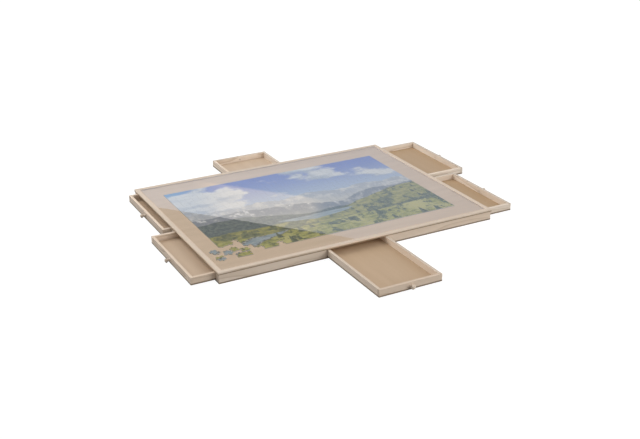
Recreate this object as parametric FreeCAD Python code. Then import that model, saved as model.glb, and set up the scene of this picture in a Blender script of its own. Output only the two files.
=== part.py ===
"""Low wooden puzzle table with a raised rim, six drawers and a clear loose cover.

Frame: millimetres, origin at the middle of the underside, +X along the length, +Y to the back,
+Z up. The drawers stand partly open, each by its own amount.
"""
import FreeCAD, Part
import math
import os
from FreeCAD import Placement, Rotation, Vector

# ---- driving dimensions: the top ----
BOARD_LENGTH = 870.0
BOARD_WIDTH = 652.0
BOARD_THICKNESS = 3.0
RIM_WIDTH = 13.5
RIM_HEIGHT = 4.0
RIM_ROUND_OUTER = 1.5      # rounding of the rim's outer top edge
RIM_ROUND_INNER = 0.8
TOP_OVERHANG = 1.5         # the top stands this far proud of the carcass all round

# ---- driving dimensions: the carcass ----
PANEL_THICKNESS = 4.0      # bottom panel
RAIL_HEIGHT = 22.0
RAIL_THICKNESS = 19.0      # front and back rails
MIDDLE_RAIL_WIDTH = 21.0   # rail between the two drawers of one side
GUIDE_WIDTH = 12.0         # guides, stop rails and stops
EDGE_EASE = 0.6            # small chamfer on sawn ends

# ---- driving dimensions: the drawers ----
DRAWER_SHORT = 191.0       # width of the front and back drawers, depth of the side drawers
DRAWER_WALL = 8.0
DRAWER_PANEL = 4.0         # bottom sheet of a drawer
DRAWER_ROUND = 0.8         # rounding of the walls' top edges
SIDE_GAP = 1.5             # play at each side of a drawer
SLIDE_GAP = 0.4            # play under and over a drawer
STOP_GAP = 1.5             # between a closed drawer's back and its stop
END_DRAWER_X = -20.0       # middle of the front and back drawers, off the table's middle
STOP_SPACE = 3.0           # from the table's middle to the front stop, and to the back stop

# how far each drawer is pulled out as the table stands
OUT_FRONT = 265.5
OUT_BACK = 140.0
OUT_LEFT_FRONT = 69.0
OUT_LEFT_BACK = 26.5
OUT_RIGHT_FRONT = 91.0
OUT_RIGHT_BACK = 143.5

# ---- driving dimensions: the turned knobs ----
KNOB_DIAMETER = 13.5
KNOB_LENGTH = 15.5         # how far it stands out of the drawer's front
KNOB_CROWN = 5.0           # height of its rounded crown above the widest ring
KNOB_NECK_DIAMETER = 6.5
KNOB_FOOT_DIAMETER = 9.5
KNOB_SPIGOT_DIAMETER = 6.0
SPIGOT_LENGTH = 7.0
GLUE_GAP = 0.05            # round the glued spigot

# ---- driving dimensions: countersunk screws ----
SCREW_DIAMETER = 3.0
SCREW_HEAD_DIAMETER = 6.4
SCREW_LENGTH = 16.0
SCREW_SINK = 0.2           # head below the panel's face
PILOT_GAP = 0.05

# ---- driving dimensions: the puzzle and the cover ----
PUZZLE_THICKNESS = 2.0
MARGIN_LEFT = 50.5         # bare board between the rim and the puzzle
MARGIN_RIGHT = 62.5
MARGIN_FRONT = 66.5
MARGIN_BACK = 70.5
PUZZLE_COLUMNS = 34
PUZZLE_ROWS = 22
COVER_THICKNESS = 1.3
COVER_GAP = 1.0            # to the rim, all round
COVER_LIFT = 0.3           # over the puzzle
COVER_CORNER = 4.0

# pieces not yet laid, as row: columns, counted from the front left corner
OPEN_CELLS = {0: (0, 1, 2, 3, 4, 7), 1: (0, 1, 2, 3), 2: (0, 1, 2), 3: (2,)}

# loose pieces: column and row where they lie, in pieces from the puzzle's front left corner, their
# turn in degrees, 1 where they are joined to the right of the piece before them, and their four
# sides from the front round (1 tab, -1 socket, 0 straight)
LOOSE_PIECES = (
    (-1.00, 1.93, 24.0, 0, (1, -1, 1, -1)),
    (0.38, 1.08, -12.0, 0, (-1, 1, 1, -1)),
    (-0.95, 0.10, 8.0, 0, (1, -1, -1, 1)),
    (1.55, 1.58, 12.0, 0, (-1, -1, 1, -1)),
    (2.68, 0.97, -8.0, 0, (-1, 1, -1, -1)),
    (1.57, -0.15, -3.0, 0, (0, 1, 1, -1)),
    (1.57, -0.15, -3.0, 1, (0, -1, -1, -1)),
)

# shape of a jigsaw tab, as shares of the side that carries it
TAB_NECK = 0.17
TAB_HEIGHT = 0.24

# ---- worked out ----
BODY_X = BOARD_LENGTH / 2 - TOP_OVERHANG        # carcass outside, from the middle
BODY_Y = BOARD_WIDTH / 2 - TOP_OVERHANG
INNER_Y = BODY_Y - RAIL_THICKNESS               # inner face of the front and back rails
Z_RAIL = PANEL_THICKNESS
Z_BOARD = Z_RAIL + RAIL_HEIGHT
Z_RIM = Z_BOARD + BOARD_THICKNESS
Z_DRAWER = Z_RAIL + SLIDE_GAP
DRAWER_HEIGHT = RAIL_HEIGHT - 2 * SLIDE_GAP
SIDE_BAY = INNER_Y - MIDDLE_RAIL_WIDTH / 2      # width of one side drawer's bay
DRAWER_LONG = SIDE_BAY - 2 * SIDE_GAP           # width of a side drawer
SIDE_DRAWER_Y = INNER_Y - SIDE_BAY / 2
END_BAY_HALF = DRAWER_SHORT / 2 + SIDE_GAP
BAY_LEFT = END_DRAWER_X - END_BAY_HALF
BAY_RIGHT = END_DRAWER_X + END_BAY_HALF
STOP_X = BODY_X - DRAWER_SHORT - STOP_GAP       # face of the stop rails
STOP_Y = STOP_SPACE + GUIDE_WIDTH               # face of the front and back stops
END_DRAWER_DEPTH = BODY_Y - STOP_Y - STOP_GAP   # depth of the front and back drawers
SPIGOT_BORE = KNOB_SPIGOT_DIAMETER / 2 + GLUE_GAP
TRAY_X = BOARD_LENGTH / 2 - RIM_WIDTH           # inside of the rim
TRAY_Y = BOARD_WIDTH / 2 - RIM_WIDTH
PIECE_X = (2 * TRAY_X - MARGIN_LEFT - MARGIN_RIGHT) / PUZZLE_COLUMNS
PIECE_Y = (2 * TRAY_Y - MARGIN_FRONT - MARGIN_BACK) / PUZZLE_ROWS


def block(x0, x1, y0, y1, z0, z1):
    """A sawn block between two corners."""
    return Part.makeBox(x1 - x0, y1 - y0, z1 - z0, Vector(x0, y0, z0))


def save(name, *solids):
    """Write one sub-part, one solid or a group of equal ones."""
    shape = solids[0] if len(solids) == 1 else Part.makeCompound(list(solids))
    assert shape.isValid(), name
    shape.exportStep("parts/%s.step" % name)
    print("%-30s solids %2d  volume %10.1f mm3" % (name, len(shape.Solids), shape.Volume))


def edges_where(shape, test):
    """Edges of a shape whose middle point passes the test."""
    return [edge for edge in shape.Edges if test(edge.CenterOfMass)]


def near(a, b):
    """Two lengths are the same, within a hair."""
    return abs(a - b) < 1e-4


# ---- screws ----
def turned(points):
    """A solid turned about the Z axis from (radius, height) points that start and end on it."""
    outline = [Vector(radius, 0, height) for radius, height in points]
    face = Part.Face(Part.makePolygon(outline + outline[:1]))
    return face.revolve(Vector(0, 0, 0), Vector(0, 0, 1), 360).Solids[0]


def screw(x, y):
    """A countersunk wood screw driven up through the panel into a rail."""
    head, shank, z = SCREW_HEAD_DIAMETER / 2, SCREW_DIAMETER / 2, SCREW_SINK
    tip = z + SCREW_LENGTH
    body = turned([(0, z), (head, z), (shank, z + head - shank), (shank, tip), (0, tip)])
    body.translate(Vector(x, y, 0))
    return body


def screw_hole(x, y):
    """The 90 degree countersink in the panel and the pilot hole in the rail above it."""
    mouth, pilot = SCREW_HEAD_DIAMETER / 2 + SCREW_SINK, SCREW_DIAMETER / 2 + PILOT_GAP
    top = SCREW_SINK + SCREW_LENGTH + PILOT_GAP
    hole = turned([(0, 0), (mouth, 0), (pilot, mouth - pilot), (pilot, top), (0, top)])
    hole.translate(Vector(x, y, 0))
    return hole


def screw_places(x0, x1, y0, y1, count):
    """Screws in a row along the middle of a rail, each in the middle of its share of the length."""
    return [(x0 + (x1 - x0) * (i + 0.5) / count, (y0 + y1) / 2) for i in range(count)]


# ---- the carcass ----
def rail_plans():
    """Every upright of the carcass as name: (x0, x1, y0, y1, screws)."""
    plans = {}
    for name, sign in (("front", -1), ("back", 1)):
        y0, y1 = sorted((sign * INNER_Y, sign * BODY_Y))
        plans[name + "_rail_left"] = (-BODY_X, BAY_LEFT, y0, y1, 2)
        plans[name + "_rail_right"] = (BAY_RIGHT, BODY_X, y0, y1, 2)
        y0, y1 = sorted((sign * STOP_Y, sign * (STOP_Y - GUIDE_WIDTH)))
        plans[name + "_stop"] = (BAY_LEFT, BAY_RIGHT, y0, y1, 0)
    half = MIDDLE_RAIL_WIDTH / 2
    for name, sign in (("left", -1), ("right", 1)):
        x0, x1 = sorted((sign * STOP_X, sign * BODY_X))
        plans[name + "_middle_rail"] = (x0, x1, -half, half, 0)
        x0, x1 = sorted((sign * STOP_X, sign * (STOP_X - GUIDE_WIDTH)))
        plans[name + "_stop_rail"] = (x0, x1, -INNER_Y, INNER_Y, 0)
    for name, x0 in (("left", BAY_LEFT - GUIDE_WIDTH), ("right", BAY_RIGHT)):
        plans[name + "_guide"] = (x0, x0 + GUIDE_WIDTH, -INNER_Y, INNER_Y, 0)
    return plans


def carcass():
    """Bottom panel, rails, guides and stops, with the screws that join them."""
    panel = block(-BODY_X, BODY_X, -BODY_Y, BODY_Y, 0, PANEL_THICKNESS)
    screws = []
    for name, (x0, x1, y0, y1, count) in rail_plans().items():
        rail = block(x0, x1, y0, y1, Z_RAIL, Z_BOARD)
        if name.endswith(("rail_left", "rail_right")):
            rail = eased_rail(rail)
        places = screw_places(x0, x1, y0, y1, count)
        for x, y in places:
            rail = rail.cut(screw_hole(x, y))
            panel = panel.cut(screw_hole(x, y))
            screws.append(screw(x, y))
        save(name, rail.Solids[0])
    save("bottom_panel", panel.Solids[0])
    save("panel_screws", *screws)


def eased_rail(rail):
    """Take the sharp edge off a front or back rail where it shows at the table's corners."""
    def corner(p):
        return near(abs(p.x), BODY_X) and near(abs(p.y), BODY_Y)
    return rail.makeChamfer(EDGE_EASE, edges_where(rail, corner))


# ---- the top ----
def rim_strip(length):
    """One mitred strip: a rounded section drawn along X, its ends cut at 45 degrees.

    Its outer face is at y = 0, its inner face at y = RIM_WIDTH, and its foot at z = 0.
    """
    w, h = RIM_WIDTH, RIM_HEIGHT
    ro, ri = RIM_ROUND_OUTER, RIM_ROUND_INNER
    bend = 1 - math.sqrt(0.5)
    a, b, c = Vector(0, 0, 0), Vector(0, 0, h - ro), Vector(0, ro, h)
    d, e, f = Vector(0, w - ri, h), Vector(0, w, h - ri), Vector(0, w, 0)
    outer_mid = Vector(0, ro * bend, h - ro * bend)
    inner_mid = Vector(0, w - ri * bend, h - ri * bend)
    section = Part.Wire([
        Part.makeLine(a, b),
        Part.Arc(b, outer_mid, c).toShape(),
        Part.makeLine(c, d),
        Part.Arc(d, inner_mid, e).toShape(),
        Part.makeLine(e, f),
        Part.makeLine(f, a),
    ])
    strip = Part.Face(section).extrude(Vector(length, 0, 0))
    plan = Part.makePolygon([Vector(0, 0, 0), Vector(length, 0, 0), Vector(length - w, w, 0),
                             Vector(w, w, 0), Vector(0, 0, 0)])
    mitre = Part.Face(plan).extrude(Vector(0, 0, h))
    return strip.common(mitre).Solids[0]


def top():
    """The flat board and the four strips of its rim."""
    x, y = BOARD_LENGTH / 2, BOARD_WIDTH / 2
    save("board", block(-x, x, -y, y, Z_BOARD, Z_RIM))
    places = (
        ("front_rim", BOARD_LENGTH, Vector(-x, -y, Z_RIM), 0),
        ("right_rim", BOARD_WIDTH, Vector(x, -y, Z_RIM), 90),
        ("back_rim", BOARD_LENGTH, Vector(x, y, Z_RIM), 180),
        ("left_rim", BOARD_WIDTH, Vector(-x, y, Z_RIM), 270),
    )
    for name, length, corner, turn in places:
        strip = rim_strip(length)
        strip.Placement = Placement(corner, Rotation(Vector(0, 0, 1), turn))
        save(name, strip)


# ---- the drawers ----
def knob():
    """A turned knob on a drawer front at y = 0, pointing to -Y, with its spigot in the front."""
    head = KNOB_DIAMETER / 2
    neck = KNOB_NECK_DIAMETER / 2
    foot = KNOB_FOOT_DIAMETER / 2
    spigot = KNOB_SPIGOT_DIAMETER / 2
    tip = KNOB_LENGTH
    widest = tip - KNOB_CROWN           # height of the head's widest ring
    waist = widest * 0.45
    ball = (head ** 2 + KNOB_CROWN ** 2) / (2 * KNOB_CROWN)      # radius of the crown's ball
    half_turn = math.asin(head / ball) / 2
    crown = (ball * math.sin(half_turn), tip - ball + ball * math.cos(half_turn))

    def at(radius, height):
        return Vector(radius, -height, 0)

    outline = [
        Part.makeLine(at(0, -SPIGOT_LENGTH), at(spigot, -SPIGOT_LENGTH)),
        Part.makeLine(at(spigot, -SPIGOT_LENGTH), at(spigot, 0)),
        Part.makeLine(at(spigot, 0), at(foot, 0)),
        Part.Arc(at(foot, 0), at(neck, waist), at(head, widest)).toShape(),
        Part.Arc(at(head, widest), at(*crown), at(0, tip)).toShape(),
        Part.makeLine(at(0, tip), at(0, -SPIGOT_LENGTH)),
    ]
    face = Part.Face(Part.Wire(outline))
    return face.revolve(Vector(0, 0, 0), Vector(0, 1, 0), 360).Solids[0]


def drawer(name, width, depth, front_middle, turn):
    """One drawer, its front facing -Y before it is turned about Z and set in place."""
    w, wall, foot, h = width / 2, DRAWER_WALL, DRAWER_PANEL, DRAWER_HEIGHT
    mid_height = h / 2

    def top_edge(p):
        return near(p.z, h)

    front = block(-w, w, 0, wall, foot, h)

    def front_edge(p):
        corner = near(p.y, 0) and near(abs(p.x), w)
        return (near(p.z, h) and near(abs(p.x), 0)) or corner

    front = front.makeFillet(DRAWER_ROUND, edges_where(front, front_edge))
    bore = Part.makeCylinder(SPIGOT_BORE, wall, Vector(0, 0, mid_height), Vector(0, 1, 0))
    front = front.cut(bore)

    side_a = block(-w, -w + wall, wall, depth, foot, h)
    side_b = block(w - wall, w, wall, depth, foot, h)
    sides = []
    for side in (side_a, side_b):
        middle_y = (wall + depth) / 2
        run = edges_where(side, lambda p: top_edge(p) and near(p.y, middle_y))
        sides.append(side.makeFillet(DRAWER_ROUND, run))

    back = block(-w + wall, w - wall, depth - wall, depth, foot, h)
    back = back.makeFillet(DRAWER_ROUND, edges_where(back, lambda p: top_edge(p) and near(p.x, 0)))

    panel = block(-w, w, 0, depth, 0, foot)
    turned_knob = knob()
    turned_knob.translate(Vector(0, 0, mid_height))

    pieces = {"front": front, "side_a": sides[0], "side_b": sides[1], "back": back,
              "bottom": panel, "knob": turned_knob}
    place = Placement(front_middle, Rotation(Vector(0, 0, 1), turn))
    for part, shape in pieces.items():
        shape.Placement = place.multiply(shape.Placement)
        save("%s_drawer_%s" % (name, part), shape.Solids[0])


def drawers():
    """Two side drawers left and right, one drawer front and back, each pulled out by its amount."""
    z = Z_DRAWER
    front_back = (("front", -1, OUT_FRONT, 0), ("back", 1, OUT_BACK, 180))
    for name, sign, out, turn in front_back:
        place = Vector(END_DRAWER_X, sign * (BODY_Y + out), z)
        drawer(name, DRAWER_SHORT, END_DRAWER_DEPTH, place, turn)
    sides = (
        ("left_front", -1, -1, OUT_LEFT_FRONT, 270),
        ("left_back", -1, 1, OUT_LEFT_BACK, 270),
        ("right_front", 1, -1, OUT_RIGHT_FRONT, 90),
        ("right_back", 1, 1, OUT_RIGHT_BACK, 90),
    )
    for name, side, end, out, turn in sides:
        place = Vector(side * (BODY_X + out), end * SIDE_DRAWER_Y, z)
        drawer(name, DRAWER_LONG, DRAWER_SHORT, place, turn)


# ---- the jigsaw puzzle ----
def on_grid(column, row):
    """A point on the board, counted in pieces from the puzzle's front left corner."""
    return Vector(MARGIN_LEFT - TRAY_X + column * PIECE_X, MARGIN_FRONT - TRAY_Y + row * PIECE_Y, Z_RIM)


def jigsaw_side(p, q, tab):
    """One side of a piece from p to q: straight, or with a tab to its right (1) or left (-1)."""
    if tab == 0:
        return [Part.makeLine(p, q)]
    along = q - p
    out = Vector(along.y, -along.x, 0) * tab
    neck_start = p + along * (0.5 - TAB_NECK / 2)
    neck_end = p + along * (0.5 + TAB_NECK / 2)
    crown = p + along * 0.5 + out * TAB_HEIGHT
    return [
        Part.makeLine(p, neck_start),
        Part.Arc(neck_start, crown, neck_end).toShape(),
        Part.makeLine(neck_end, q),
    ]


def loose_piece(column, row, turn, joined, sides):
    """A loose piece: its four sides run round it with the outside on the right."""
    a, b = PIECE_X / 2, PIECE_Y / 2
    corners = [Vector(-a, -b, 0), Vector(a, -b, 0), Vector(a, b, 0), Vector(-a, b, 0)]
    edges = []
    for i, tab in enumerate(sides):
        edges += jigsaw_side(corners[i], corners[(i + 1) % 4], tab)
    piece = Part.Face(Part.Wire(edges)).extrude(Vector(0, 0, PUZZLE_THICKNESS))
    piece.translate(Vector(joined * PIECE_X, 0, 0))
    place = Placement(on_grid(column, row), Rotation(Vector(0, 0, 1), turn))
    piece.Placement = place.multiply(piece.Placement)
    return piece.Solids[0]


def laid_puzzle():
    """The laid part of the puzzle: a sheet whose open corner has a jigsaw edge."""
    laid = {(c, r) for c in range(PUZZLE_COLUMNS) for r in range(PUZZLE_ROWS)
            if c not in OPEN_CELLS.get(r, ())}
    edges = []
    for c, r in sorted(laid):
        ring = ((c, r), (c + 1, r), (c + 1, r + 1), (c, r + 1))
        beside = ((c, r - 1), (c + 1, r), (c, r + 1), (c - 1, r))
        for i in range(4):
            column, row = beside[i]
            if (column, row) in laid:
                continue
            inside = 0 <= column < PUZZLE_COLUMNS and 0 <= row < PUZZLE_ROWS
            tab = (1 if (c + r + i) % 2 else -1) if inside else 0
            edges += jigsaw_side(on_grid(*ring[i]), on_grid(*ring[(i + 1) % 4]), tab)
    outline = Part.Wire(Part.__sortEdges__(edges))
    return Part.Face(outline).extrude(Vector(0, 0, PUZZLE_THICKNESS)).Solids[0]


def on_the_board():
    """The puzzle, its loose pieces and the clear sheet over them."""
    save("puzzle", laid_puzzle())
    save("loose_pieces", *[loose_piece(*piece) for piece in LOOSE_PIECES])
    x, y = TRAY_X - COVER_GAP, TRAY_Y - COVER_GAP
    z = Z_RIM + PUZZLE_THICKNESS + COVER_LIFT
    cover = block(-x, x, -y, y, z, z + COVER_THICKNESS)
    corners = edges_where(cover, lambda p: near(abs(p.x), x) and near(abs(p.y), y))
    save("clear_cover", cover.makeFillet(COVER_CORNER, corners).Solids[0])


os.makedirs("parts", exist_ok=True)
carcass()
top()
drawers()
on_the_board()
print("table %.1f x %.1f x %.1f mm" % (BOARD_LENGTH, BOARD_WIDTH, Z_RIM + RIM_HEIGHT))
print("side drawer %.1f x %.1f x %.1f mm" % (DRAWER_LONG, DRAWER_SHORT, DRAWER_HEIGHT))
print("end drawer %.1f x %.1f x %.1f mm" % (DRAWER_SHORT, END_DRAWER_DEPTH, DRAWER_HEIGHT))
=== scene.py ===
# %% [markdown]
# # A puzzle table with six drawers
#
# The table is a flat wooden tray about 87 cm long. A jigsaw puzzle lies on it under a clear loose
# sheet, and six shallow drawers for the sorted pieces slide out on all four sides. Its wooden parts
# come ready made from the packed model, each as an object of its own, so this lesson only dresses
# them. The screws and the cut puzzle are modelled here, because their detail is too fine for the
# packed model. Loading comes first: it brings in every wooden part at its real place, in metres.

# %% Load the packed table
import math
import random

import bpy
from mathutils import Matrix, Vector


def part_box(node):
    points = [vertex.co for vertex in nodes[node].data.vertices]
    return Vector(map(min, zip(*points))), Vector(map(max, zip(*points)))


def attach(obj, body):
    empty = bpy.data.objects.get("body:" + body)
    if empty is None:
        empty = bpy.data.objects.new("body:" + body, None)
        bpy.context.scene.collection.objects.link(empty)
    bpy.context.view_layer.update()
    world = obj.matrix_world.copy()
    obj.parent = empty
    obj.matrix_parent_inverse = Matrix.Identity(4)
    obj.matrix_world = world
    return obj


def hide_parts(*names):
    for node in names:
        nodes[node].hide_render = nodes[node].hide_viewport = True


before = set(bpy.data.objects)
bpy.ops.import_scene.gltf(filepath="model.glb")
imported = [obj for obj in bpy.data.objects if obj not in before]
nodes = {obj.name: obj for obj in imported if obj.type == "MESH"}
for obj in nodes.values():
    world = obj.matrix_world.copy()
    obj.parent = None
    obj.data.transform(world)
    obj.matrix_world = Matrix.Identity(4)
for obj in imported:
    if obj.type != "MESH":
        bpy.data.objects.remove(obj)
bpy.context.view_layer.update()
print("wooden parts and sheets:", len(nodes))

# %% [markdown]
# ## The camera
#
# The table lies on the floor and is seen over its front left corner, from the eye height of someone
# on a chair. A long lens keeps the far edge nearly as long as the near one, so the drawers keep their
# shape. The camera is placed by numbers and not by a constraint, because it never moves.

# %% Put up the camera
CAMERA_PLACE = (-1.2965, -2.4495, 1.1826)
LOOK_DOWN = math.radians(23.707)  # below the horizon
LOOK_ROUND = math.radians(28.5955)  # to the right of the table's own front to back line
LENS = 56.1
SENSOR = 36.0

bpy.ops.object.camera_add(location=CAMERA_PLACE, rotation=(math.pi / 2 - LOOK_DOWN, 0, -LOOK_ROUND))
camera = bpy.context.object
camera.data.lens = LENS
camera.data.sensor_width = SENSOR
bpy.context.scene.camera = camera
bpy.context.scene.view_settings.view_transform = "Standard"
print("camera at", CAMERA_PLACE, "lens", LENS)

# %% [markdown]
# ## Writing materials as formulas
#
# A material is a tree of small nodes, and a pattern such as wood grain is arithmetic on the place
# of a point. Adding Math nodes one by one hides that arithmetic, so a `Wire` stands for the output
# of a node: adding or multiplying two wires adds the Math node that does it. Everything reads Object
# coordinates, so a pattern stays with its part when the part moves.


# %% Wires between nodes
def plug(tree, socket, value):
    """Give a socket a number, a colour or another node's output."""
    if isinstance(value, Wire):
        tree.links.new(value.output, socket)
    else:
        socket.default_value = value


def add_node(tree, kind, inputs=None, output=0, **settings):
    """Add a node, make its settings, fill its sockets by name or number, and return one output."""
    node = tree.nodes.new("ShaderNode" + kind)
    for key, value in settings.items():
        setattr(node, key, value)
    for key, value in (inputs or {}).items():
        plug(tree, node.inputs[key], value)
    return Wire(tree, node.outputs[output])


class Wire:
    """The output of one node. Sums and products of wires add Math nodes."""

    def __init__(self, tree, output):
        self.tree = tree
        self.output = output

    def math(self, operation, other=0.0):
        """What a Math node makes of this wire and another value."""
        return add_node(self.tree, "Math", {0: self, 1: other}, operation=operation)

    def other_output(self, name):
        """Another output of the same node."""
        return Wire(self.tree, self.output.node.outputs[name])

    def __add__(self, other):
        return self.math("ADD", other)

    def __sub__(self, other):
        return self.math("SUBTRACT", other)

    def __mul__(self, other):
        return self.math("MULTIPLY", other)

    def step(self, low, high):
        """0 below low, 1 above high, and a smooth rise between them."""
        inputs = {"Value": self, "From Min": low, "From Max": high}
        return add_node(self.tree, "MapRange", inputs, "Result", interpolation_type="SMOOTHSTEP")

    def clamped(self):
        """The same, but held between 0 and 1."""
        return self.math("MAXIMUM", 0.0).math("MINIMUM", 1.0)


print("what a wire can do:", [name for name in vars(Wire) if not name.startswith("__")])


# %% Nodes that patterns are made of
def moved(vector, move=(0, 0, 0), turn=0.0, scale=(1, 1, 1)):
    """Coordinates scaled, turned about Z and then moved."""
    inputs = {"Vector": vector, "Location": move, "Rotation": (0, 0, turn), "Scale": scale}
    return add_node(vector.tree, "Mapping", inputs, "Vector")


def noise(vector, scale, detail=3.0, roughness=0.5):
    """Cloudy noise from 0 to 1, mostly near the middle."""
    inputs = {"Vector": vector, "Scale": scale, "Detail": detail, "Roughness": roughness}
    return add_node(vector.tree, "TexNoise", inputs, "Fac")


def streaks(vector, scales, detail=3.0, roughness=0.5):
    """Noise with a scale of its own along each axis, which draws it out into streaks."""
    return noise(moved(vector, scale=scales), 1.0, detail, roughness)


def split(vector):
    """The X, Y and Z of a vector."""
    x = add_node(vector.tree, "SeparateXYZ", {0: vector}, "X")
    return [x, x.other_output("Y"), x.other_output("Z")]


def joined(tree, x, y, z):
    """A vector from three numbers."""
    return add_node(tree, "CombineXYZ", {0: x, 1: y, 2: z})


def mixed(share, first, second):
    """The first colour where share is 0, and the second where it is 1."""
    return add_node(share.tree, "Mix", {0: share, 6: first, 7: second}, 2, data_type="RGBA")


def rgb(red, green, blue):
    """An opaque colour, in linear light."""
    return (red, green, blue, 1.0)


def toned(colour, tone, warmth=0.0):
    """A colour made lighter or darker, and redder, or with a negative warmth bluer."""
    red, green, blue = colour[:3]
    return rgb(red * tone * (1 + warmth), green * tone, blue * tone * (1 - warmth))


print("grey made half as light:", toned(rgb(0.5, 0.5, 0.5), 0.5))


# %% Starting and closing a material
def new_material(name):
    """An empty material, with the Object coordinates and the normal of a point on it."""
    material = bpy.data.materials.new(name)
    material.use_nodes = True
    tree = material.node_tree
    tree.nodes.clear()
    place = add_node(tree, "TexCoord", output="Object")
    return material, place, place.other_output("Normal")


def close(shader, kind="Material"):
    """Send a shader to the output of its material or its world."""
    output = shader.tree.nodes.new("ShaderNodeOutput" + kind)
    plug(shader.tree, output.inputs["Surface"], shader)


def surface(colour, roughness, height, relief, specular=0.5, metallic=0.0):
    """Close a material with one Principled shader and a Bump node. relief is in metres."""
    tree = colour.tree
    bump = add_node(tree, "Bump", {"Strength": 1.0, "Distance": relief, "Height": height})
    close(add_node(tree, "BsdfPrincipled", {
        "Base Color": colour, "Roughness": roughness, "Specular IOR Level": specular,
        "Metallic": metallic, "Normal": bump}))


def dress(thing, material):
    """Give an object one material all over."""
    thing.data.materials.clear()
    thing.data.materials.append(material)


print("materials before dressing:", len(bpy.data.materials))

# %% [markdown]
# ## Solid wood
#
# The rims, rails, drawer walls and knobs are sawn and turned from a pale softwood. Its grain could be
# a flat stripe pattern, but then the stripes would not meet round a corner. Here the grain is solid:
# growth rings are tubes round a pith line beside the piece, bent a little along their length, and
# each ring ends in a thin dark line of late wood. Cut along the fibres they show as long streaks, and
# on a sawn end as arcs, just as in a real board. Each piece reads the rings from another place, so no
# two pieces match. Each piece also gets a tone of its own, partly a paler or redder board and partly
# painted light: pieces are made lighter or darker where the lamps light them too little or too much.
# On some drawer walls the faces that look up get a painted tone of their own as well: mostly darker
# than their sides as painted shade, and lighter on one drawer front as painted light.

# %% Growth rings
WOOD_LIGHT = rgb(0.692, 0.580, 0.474)
WOOD_DARK = rgb(0.587, 0.470, 0.360)
LATE_WOOD = rgb(0.460, 0.335, 0.225)  # the thin dark line that ends each ring
RING_SPACING = 0.0034
PITH = (0.021, 0.034)  # how far beside and under a piece its rings have their centre
SWAY = (2.2, 14, 14)  # noise per metre, along the fibres and across them
FIBRES = (26, 900, 900)
CLOUDS = (5, 40, 40)
GRAIN_REACH = 2.0  # how far off a piece may read its grain


def fibres_along(vector, axis):
    """Coordinates turned so that the fibres run along their X."""
    return moved(vector, turn=-math.pi / 2) if axis == "Y" else vector


def growth_rings(vector, pith):
    """The rings, which rise through the early wood and drop after the late, and the late wood alone."""
    sway = streaks(vector, SWAY, detail=2.0) - 0.5
    _, across, up = split(vector)
    side = across + pith[0] + sway * 0.02
    below = up + pith[1] + sway * 0.014
    radius = (side * side + below * below).math("SQRT")
    turn = (radius * (1 / RING_SPACING)).math("FRACT")
    rings = turn.step(0.25, 0.93) - turn.step(0.93, 1.0)
    late = turn.step(0.78, 0.94) - turn.step(0.94, 1.0)
    return rings, late


def own_shift(chance):
    """A random move, so that no two pieces show the same stretch of grain."""
    return [chance.uniform(-GRAIN_REACH, GRAIN_REACH) for _ in range(3)]


def own_pith(chance, near, far):
    """A random centre for the rings, between two shares of the usual distances."""
    return [chance.choice((-1, 1)) * chance.uniform(near, far) * usual for usual in PITH]


print("growth rings every %.1f mm" % (RING_SPACING * 1000))


# %% Pale softwood
def softwood(name, axis, seed, tone=1.0, warmth=0.0, painted_top_tone=1.0):
    """Planed softwood with its fibres along an axis, and a painted tone of its own on the faces that look
    up, as painted shade or painted light.
    """
    material, place, normal = new_material(name)
    chance = random.Random(seed)
    shift = own_shift(chance)
    straight = fibres_along(place, axis)
    rings, late = growth_rings(straight, own_pith(chance, 0.7, 1.6))
    board = moved(straight, move=shift)
    fibre = streaks(board, FIBRES, roughness=0.6)
    cloud = streaks(board, CLOUDS, detail=2.0)
    grain = rings * 0.42 + (fibre - 0.5) * 0.55 + (cloud - 0.5) * 0.7 + 0.18
    # Painted light: faces that look up get a tone of their own, mostly darker than the sides as painted
    # shade.
    painted_top = split(normal)[2].step(0.5, 0.95)
    light, dark = (mixed(painted_top, toned(wood, tone, warmth), toned(wood, tone * painted_top_tone, warmth))
                   for wood in (WOOD_LIGHT, WOOD_DARK))
    colour = mixed(grain.clamped(), light, dark)
    colour = mixed(late * (cloud * 0.5 + 0.15), colour, LATE_WOOD)
    facing = split(fibres_along(normal, axis))[0].math("ABSOLUTE")
    end_grain = facing.step(0.6, 0.95)
    colour = mixed(end_grain * 0.45, colour, toned(WOOD_DARK, tone * 0.8, warmth))
    surface(colour, fibre * 0.16 + 0.50, height=rings * 0.35 + fibre, relief=0.00006)
    return material


def long_axis(name):
    """The axis of the table that a part is longest along, X or Y."""
    low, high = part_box(name)
    return "X" if high.x - low.x >= high.y - low.y else "Y"


print("the board's fibres run along", long_axis("board"))

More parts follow.
